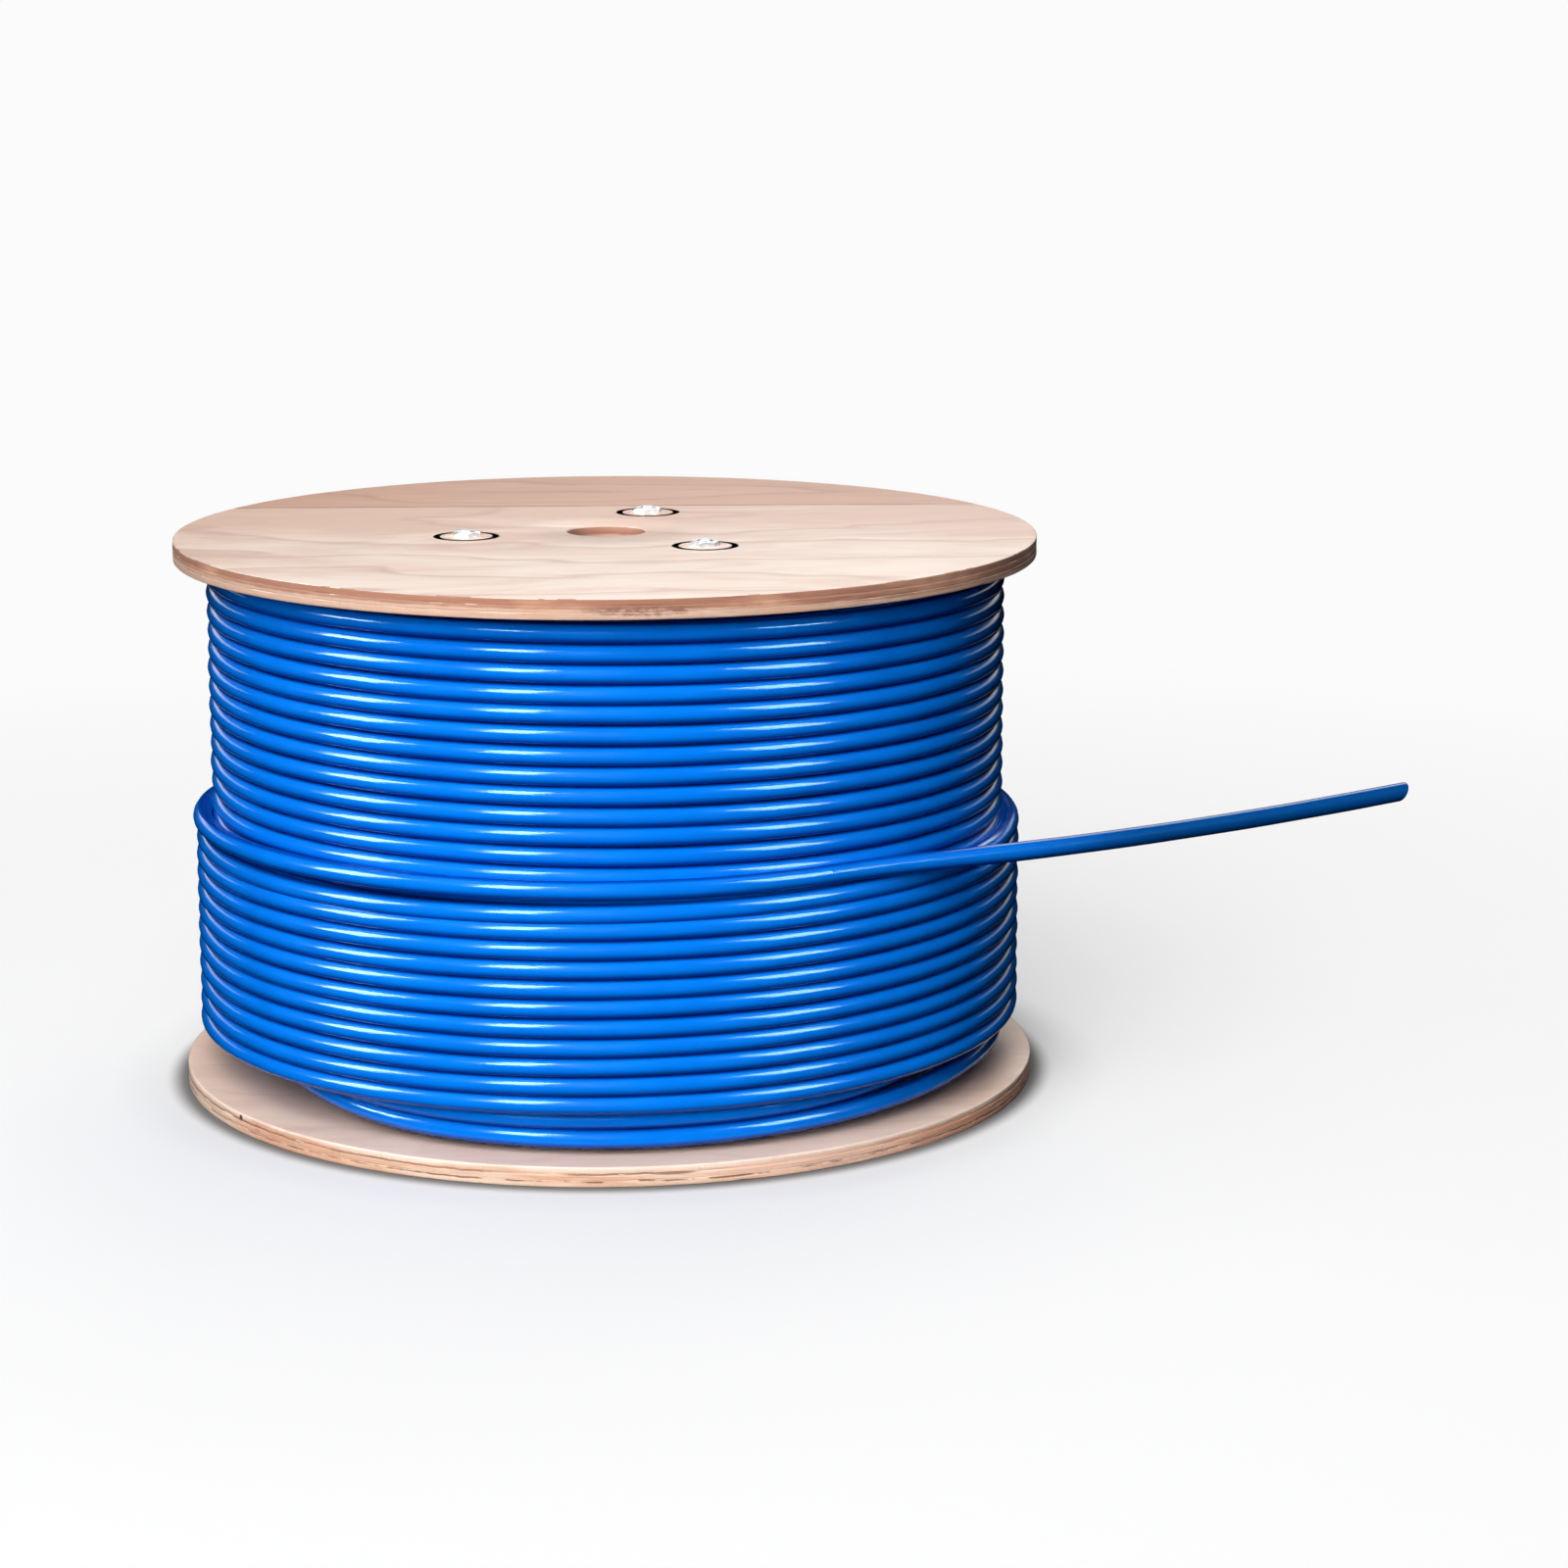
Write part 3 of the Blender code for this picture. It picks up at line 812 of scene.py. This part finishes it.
def make_inner_turns(jacket):
    """The layers under the visible ones, as rounded turns at their top, side and bottom."""
    pitch = 2 * CABLE_RADIUS
    outermost, top, lowest_side = 0.1424, 0.1955, 0.0345
    profile = []

    def arc(cx, cz, start, stop):
        for k in range(7):
            turn = math.radians(start + (stop - start) * k / 6)
            profile.append((cx + CABLE_RADIUS * math.cos(turn), cz + CABLE_RADIUS * math.sin(turn)))

    inner = BARREL_RADIUS + 0.0004
    columns = int((outermost + CABLE_RADIUS - inner) / pitch)
    radii = [inner + CABLE_RADIUS + pitch * k for k in range(columns)]
    for r in radii:
        arc(r, top, 170, 10)
    rows = int((top - lowest_side) / pitch)
    for k in range(1, rows):
        arc(radii[-1], top - pitch * k, 70, -70)
    low_outer = top - pitch * (rows - 1)
    for r in reversed(radii):
        low = low_outer if r > 0.128 else 0.0125 + 0.35 * max(0.0, r - 0.09)
        arc(r, low, -10, -170)
    ring = revolve("inner_turns", profile, 180, [jacket], smooth_angle=60.0)
    return fit(ring, "cable_jacket", "cable_inner_layers")


def make_tail(jacket, mats):
    """The free end, cut off at a slant, with its conductors showing in the cut."""
    points = tail_points()
    tube = sweep("free_end", points, jacket_radius, TUBE_SIDES, [jacket], end_slant=CUT_SLANT)
    tip = points[-1]
    along = (points[-1] - points[-2]).normalized()
    side = along.cross(Vector((0.0, 0.0, 1.0))).normalized()
    up = side.cross(along)

    def place(radius, turn, depth):
        offset = side * (radius * math.cos(turn)) + up * (radius * math.sin(turn))
        slant = CUT_SLANT * radius * math.sin(turn) / CABLE_RADIUS
        return tip + offset + along * (slant - depth)

    work = bmesh.new()
    work.from_mesh(tube.data)
    work.verts.ensure_lookup_table()
    last = [work.verts[i] for i in range(len(work.verts) - TUBE_SIDES, len(work.verts))]
    rings = [last]
    for radius, depth in ((0.0030, -0.00005), (0.0029, 0.0004), (0.0029, 0.0060)):
        rings.append(
            [work.verts.new(place(radius, FULL * j / TUBE_SIDES, depth)) for j in range(TUBE_SIDES)]
        )
    for a, b in zip(rings, rings[1:]):
        for j in range(TUBE_SIDES):
            k = (j + 1) % TUBE_SIDES
            work.faces.new((a[j], a[k], b[k], b[j]))
    work.faces.new(rings[-1])
    bmesh.ops.recalc_face_normals(work, faces=work.faces)
    work.to_mesh(tube.data)
    work.free()
    tube.data.set_sharp_from_angle(angle=math.radians(50.0))
    fit(tube, "cable_jacket", "cable_tail")

    def rod(name, radius, cx, cz, first_depth, last_depth, mat):
        """A short straight rod inside the jacket, its end following the cut."""
        verts = []
        for depth in (first_depth, last_depth):
            for j in range(ROD_SIDES):
                spin = FULL * j / ROD_SIDES
                x, z = cx + radius * math.cos(spin), cz + radius * math.sin(spin)
                verts.append(place(math.hypot(x, z), math.atan2(z, x), depth))
        faces = grid_faces(2, ROD_SIDES, False, True)
        faces += [tuple(range(ROD_SIDES)), tuple(reversed(range(ROD_SIDES, 2 * ROD_SIDES)))]
        faces = [tuple(reversed(f)) for f in faces]
        piece = mesh_object(name, verts, faces, [mat])
        fit(piece, "cable_jacket")

    for pair in range(4):
        middle = math.radians(45.0 + 90.0 * pair)
        across = middle + math.radians(90.0)
        for half, sign in (("a", 1.0), ("b", -1.0)):
            cx = PAIR_REACH * math.cos(middle) + sign * HALF_PAIR * math.cos(across)
            cz = PAIR_REACH * math.sin(middle) + sign * HALF_PAIR * math.sin(across)
            cover = mats["white"] if half == "b" else mats["pairs"][pair]
            label = f"conductor_{pair + 1}{half}"
            rod(f"{label}_cover", COVER_RADIUS, cx, cz, 0.0056, 0.0003, cover)
            rod(f"{label}_core", CORE_RADIUS, cx, cz, 0.0054, 0.0001, mats["copper"])
    blades = []
    for turn in (0.0, 90.0):
        spin = math.radians(turn)
        corners = []
        for depth in (0.0056, 0.0004):
            for u, v in ((-1, -1), (1, -1), (1, 1), (-1, 1)):
                wide, thick = u * BLADE_HALF_WIDTH, v * BLADE_HALF_THICKNESS
                x = wide * math.cos(spin) - thick * math.sin(spin)
                z = wide * math.sin(spin) + thick * math.cos(spin)
                corners.append(place(math.hypot(x, z), math.atan2(z, x), depth))
        blades.append(corners)
    verts = blades[0] + blades[1]
    faces = []
    for base in (0, 8):
        faces += [tuple(base + i for i in f) for f in (
            (0, 1, 2, 3), (7, 6, 5, 4), (0, 4, 5, 1), (1, 5, 6, 2), (2, 6, 7, 3), (3, 7, 4, 0))]
    separator = mesh_object("separator", verts, faces, [mats["white"]])
    fit(separator, "cable_jacket")


# ---------------------------------------------------------------- flanges


def flange_profile(base):
    """Section of a flange with softened edges and three slightly uneven plies."""
    top = base + PLY_STACK
    edge = 0.0005
    radius = FLANGE_RADIUS - 0.0001
    profile = [(ARBOR_RADIUS + edge, top), (0.04, top), (0.075, top), (0.12, top)]
    profile.append((radius - 2 * edge, top))
    for k in range(1, 4):
        turn = math.radians(90.0 - 90.0 * k / 3)
        profile.append(
            (radius - edge + edge * math.cos(turn), top - edge + edge * math.sin(turn))
        )
    heights = (0.86, 0.78, 0.70, 0.675, 0.66, 0.64, 0.56, 0.48, 0.40, 0.36, 0.34, 0.325, 0.26, 0.18)
    for share in heights:
        notch = 0.00014 if share in (0.66, 0.34) else 0.0
        profile.append((radius - notch, base + PLY_STACK * share))
    for k in range(0, 4):
        turn = math.radians(-90.0 * k / 3)
        profile.append(
            (radius - edge + edge * math.cos(turn), base + edge + edge * math.sin(turn))
        )
    profile += [(radius - 2 * edge, base), (0.12, base), (0.075, base), (0.04, base)]
    profile += [(ARBOR_RADIUS + edge, base), (ARBOR_RADIUS, base + edge)]
    profile += [(ARBOR_RADIUS, base + PLY_STACK * 0.34), (ARBOR_RADIUS, base + PLY_STACK * 0.66)]
    profile.append((ARBOR_RADIUS, top - edge))
    return profile


def roughen_edge(obj, seed):
    """Saw marks and torn fibres on a flange's outer edge."""
    for vertex in obj.data.vertices:
        p = vertex.co
        reach = math.hypot(p.x, p.y)
        if reach < FLANGE_RADIUS - 0.0016:
            continue
        along = math.atan2(p.y, p.x) * FLANGE_RADIUS
        fine = noise.noise(Vector((along * 420.0, p.z * 900.0, seed)))
        broad = noise.noise(Vector((along * 60.0, p.z * 500.0, seed + 9.0)))
        torn = max(0.0, noise.noise(Vector((along * 130.0, p.z * 700.0, seed + 17.0))) - 0.42)
        pull = 0.00003 * fine + 0.00006 * broad - 0.0011 * torn
        shrink = (reach + min(pull, 0.00009)) / reach
        p.x *= shrink
        p.y *= shrink


def stepped(steps, face, sign):
    """Profile steps set at height face, upside down for the underside (sign -1)."""
    if sign > 0:
        return [(r, face + z) for r, z in steps]
    return [(r, face - z) for r, z in reversed(steps)]


def recess_profile(face, sign):
    """Stepped recess for a washer, cut from the outer face at height face."""
    clear, rim, cup = 0.002, 0.0015, 0.0051
    mouth = WASHER_RADIUS + 0.00004
    steps = [
        (0.0, clear), (mouth, clear), (mouth, -rim),
        (0.0108, -rim), (0.0108, -cup), (0.0035, -cup), (0.0035, -0.012), (0.0, -0.012),
    ]
    return stepped(steps, face, sign)


def make_flange(name, node, base, outer_face, sign, seed, face, edge):
    """A plywood flange with its washer recesses."""
    profile = flange_profile(base)
    flange = revolve(name, profile, 480, [face, edge], smooth_angle=50.0)
    roughen_edge(flange, seed)
    tools = []
    for x, y in BOLT_CENTRES:
        tool = revolve("recess_tool", recess_profile(outer_face, sign), 96, [], closed=False)
        tool.location = (x, y, 0.0)
        tools.append(tool)
    bpy.context.view_layer.update()
    boolean(flange, tools)
    for polygon in flange.data.polygons:
        flat = abs(polygon.normal.z) > 0.7
        polygon.material_index = 0 if flat else 1
    flange.data.set_sharp_from_angle(angle=math.radians(50.0))
    return fit(flange, "plywood", node)


def make_flanges():
    """The lower flange, then the upper one, each with its own veneers and edge."""
    tones = ((0.90, 0.68, 0.56), (0.78, 0.55, 0.44))
    face = face_material("lower_veneer", LOWER_SEED, LOWER_SEAM, tones, 0.3)
    edge = lower_edge_material(LOWER_SEED, 0.0)
    make_flange("lower_flange", "bottom_flange", 0.0, 0.0, -1, LOWER_SEED, face, edge)
    tones = ((0.80, 0.675, 0.59), (0.66, 0.45, 0.35))
    face = face_material("upper_veneer", UPPER_SEED, UPPER_SEAM, tones, 1.0)
    edge = upper_edge_material(UPPER_SEED, UPPER_FACE)
    make_flange("upper_flange", "top_flange", UPPER_FACE, REEL_TOP, 1, UPPER_SEED, face, edge)


# ---------------------------------------------------------------- hardware


def washer_profile(face, sign):
    """A pressed dished washer with rolled edges, its rim's outer face at height face."""
    steps = [
        (0.0090, -0.0008), (0.0092, -0.0003), (0.0096, -0.00005), (0.0100, 0.0),
        (0.0126, 0.0), (0.01285, -0.00006), (0.0130, -0.00025), (0.0130, -0.0009),
        (0.0127, -0.0012), (0.0108, -0.0012), (0.0104, -0.0014), (0.0102, -0.0020),
        (0.0098, -0.0042), (0.0095, -0.0047), (0.0090, -0.0048), (0.0034, -0.0048),
        (0.0033, -0.0046), (0.0033, -0.0038), (0.0034, -0.0036), (0.0080, -0.0036),
        (0.0084, -0.0034), (0.0086, -0.0030),
    ]
    return stepped(steps, face, sign)


def hexagon_nut(name, mat, low, high, across):
    """A hexagon nut with 30 degree chamfers and a countersunk, threaded mouth."""
    corner = across / 2 / math.cos(math.radians(30.0))
    verts = []
    for z in (low, high):
        for k in range(6):
            turn = FULL * k / 6
            verts.append((corner * math.cos(turn), corner * math.sin(turn), z))
    faces = [(5, 4, 3, 2, 1, 0), (6, 7, 8, 9, 10, 11)]
    faces += [(k, (k + 1) % 6, 6 + (k + 1) % 6, 6 + k) for k in range(6)]
    nut = mesh_object(name, verts, faces, [mat])
    flat, chamfer, bore = across / 2 * 0.97, 0.00055, 0.0029
    form = [
        (bore + 0.0004, high), (flat, high), (corner + 0.0001, high - chamfer - 0.0002),
        (corner + 0.0001, low + chamfer + 0.0002), (flat, low), (bore + 0.0004, low),
        (bore, low + 0.0004), (bore, high - 0.0004),
    ]
    tool = revolve("nut_form", form, 96, [])
    boolean(nut, [tool], "INTERSECT")
    nut.data.set_sharp_from_angle(angle=math.radians(25.0))
    return nut


def thread_rod(name, mat, low, high, seed_turn):
    """The bolt's threaded upper end, pitch 1 mm, with a chamfered tip."""
    pitch, core, crest, columns = 0.001, 0.00238, 0.0028, 40
    rows = int((high - low) / pitch * 8)
    verts = []
    for i in range(rows + 1):
        z = low + (high - low) * i / rows
        for j in range(columns):
            turn = FULL * j / columns
            phase = ((z / pitch) - (turn + seed_turn) / FULL) % 1.0
            tooth = min(1.0, max(0.0, (1.0 - abs(2.0 * phase - 1.0)) * 1.25 - 0.1))
            r = core + (crest - core) * tooth
            r = min(r, crest - max(0.0, z - (high - 0.0006)) * 0.9)
            verts.append((r * math.cos(turn), r * math.sin(turn), z))
    faces = grid_faces(rows + 1, columns, False, True)
    faces.append(tuple(reversed(range(columns))))
    faces.append(tuple(range(rows * columns, (rows + 1) * columns)))
    return mesh_object(name, verts, faces, [mat], 35.0)


def bolt_body(name, mat):
    """The bolt's shank and its domed head."""
    low, high = BOLT_BOX[0].z, NUT_BOX[0].z - 0.004
    seat = low + 0.0030
    profile = [(0.0, high), (0.0028, high), (0.0029, high - 0.0003), (0.0029, seat + 0.0003)]
    profile += [(0.0031, seat), (0.0077, seat), (0.0080, seat - 0.0003), (0.0080, seat - 0.0007)]
    for k in range(1, 12):
        turn = math.radians(90.0 * k / 12)
        profile.append(
            (0.0080 * math.cos(turn), seat - 0.0008 - 0.0022 * math.sin(turn))
        )
    profile.append((0.0, low))
    return revolve(name, profile, 64, [mat], closed=False)


def make_hardware():
    """Washers, nuts and bolts at the three bolt places."""
    zinc = zinc_material("zinc_plate", (0.74, 0.75, 0.78), 0.24, 0.9)
    washer_zinc = zinc_material("washer_plate", (0.27, 0.28, 0.30), 0.50, 0.4)
    rim_top = WASHER_TOPS[0][1].z
    rim_foot = WASHER_FEET[0][0].z
    for number, (x, y) in enumerate(BOLT_CENTRES, start=1):
        top = revolve(f"dished_washer_top_{number}", washer_profile(rim_top, 1), 96, [washer_zinc])
        foot = revolve(
            f"dished_washer_foot_{number}", washer_profile(rim_foot, -1), 96, [washer_zinc]
        )
        across = NUT_BOX[1].x - NUT_BOX[0].x
        nut = hexagon_nut(f"hex_nut_{number}", zinc, NUT_BOX[0].z, NUT_BOX[1].z, across)
        nut.rotation_euler.z = math.radians((17.0, 41.0, 5.0)[number - 1])
        shank = bolt_body(f"bolt_{number}", zinc)
        thread = thread_rod(
            f"bolt_thread_{number}", zinc, NUT_BOX[0].z - 0.005, BOLT_BOX[1].z, number * 1.7
        )
        for piece in (top, foot, nut, shank, thread):
            piece.location = (x, y, 0.0)
        fit(top, "zinc_steel", f"top_washer_{number}")
        fit(foot, "zinc_steel", f"bottom_washer_{number}")
        fit(nut, "zinc_steel", f"nut_{number}")
        fit(shank, "zinc_steel", f"tie_bolt_{number}")
        fit(thread, "zinc_steel")


def dress_barrel():
    """The paperboard barrel keeps its CAD shape and gets its material."""
    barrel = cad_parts["barrel_tube"]
    barrel.data.materials.clear()
    barrel.data.materials.append(paperboard_material())


# ---------------------------------------------------------------- studio


def softbox(name, azimuth, elevation, distance, width, height, power, gloss=True, fill=True):
    """An area light aimed at the reel; azimuth 0 is the camera's side, positive to the right."""
    data = bpy.data.lights.new(name, "AREA")
    data.shape = "RECTANGLE"
    data.size = width
    data.size_y = height
    data.energy = power
    light = bpy.data.objects.new(name, data)
    a, e = math.radians(azimuth), math.radians(elevation)
    aim = Vector((0.0, 0.0, 0.11))
    light.location = aim + distance * Vector(
        (math.cos(e) * math.sin(a), -math.cos(e) * math.cos(a), math.sin(e))
    )
    light.rotation_euler = (aim - light.location).to_track_quat("-Z", "Y").to_euler()
    light.visible_glossy = gloss
    light.visible_diffuse = fill
    bpy.context.scene.collection.objects.link(light)


def make_studio():
    """White floor and surround, one broad key light, and softboxes that show in the gloss."""
    scene = bpy.context.scene
    size = 40.0
    floor = mesh_object(
        "floor",
        [(-size, -size, 0), (size, -size, 0), (size, size, 0), (-size, size, 0)],
        [(0, 1, 2, 3)],
        [floor_material()],
    )
    floor.visible_diffuse = False
    floor.visible_glossy = False
    world = bpy.data.worlds.new("surround")
    world.use_nodes = True
    world.node_tree.nodes["Background"].inputs["Color"].default_value = (1.0, 1.0, 1.0, 1.0)
    world.node_tree.nodes["Background"].inputs["Strength"].default_value = FLOOR_GLOW
    world.cycles_visibility.diffuse = False
    world.cycles_visibility.glossy = False
    scene.world = world
    softbox("key", -20.0, 42.0, 2.4, 1.6, 1.6, 51.0, gloss=False)
    softbox("overhead", 180.0, 80.0, 2.4, 2.4, 2.0, 19.0)
    softbox("rear_fill", 165.0, 35.0, 2.6, 1.6, 1.2, 24.0)
    softbox("front_fill", -14.0, 16.0, 2.4, 1.4, 1.0, 33.0, gloss=False)
    softbox("box_front_left", -28.0, 37.0, 2.2, 0.50, 1.25, 125.0, fill=False)
    softbox("box_left", -76.0, 28.0, 2.2, 0.70, 1.25, 140.0, fill=False)
    softbox("box_right", 54.0, 33.0, 2.2, 0.75, 1.25, 110.0, fill=False)
    softbox("rim_left", -140.0, 12.0, 2.2, 1.4, 0.25, 2.2, fill=False)
    softbox("rim_right", 140.0, 12.0, 2.2, 1.4, 0.25, 1.5, fill=False)
    scene.view_settings.view_transform = "Standard"
    scene.view_settings.look = "None"
    scene.view_settings.exposure = 0.0


# ---------------------------------------------------------------- build


def main():
    """Camera and cord first, then the winding, the wood, the hardware and the studio."""
    make_camera()
    jacket = jacket_material()
    pair_colours = ((0.85, 0.28, 0.02), (0.02, 0.33, 0.08), (0.02, 0.10, 0.62), (0.22, 0.09, 0.03))
    mats = {
        "white": plain_plastic("white_polyethylene", (0.82, 0.82, 0.80)),
        "copper": copper_material(),
        "pairs": [
            plain_plastic(f"pair_cover_{i}", c) for i, c in enumerate(pair_colours, start=1)
        ],
    }
    make_tail(jacket, mats)
    make_cable(jacket)
    make_inner_turns(jacket)
    make_flanges()
    make_hardware()
    dress_barrel()
    make_studio()


main()
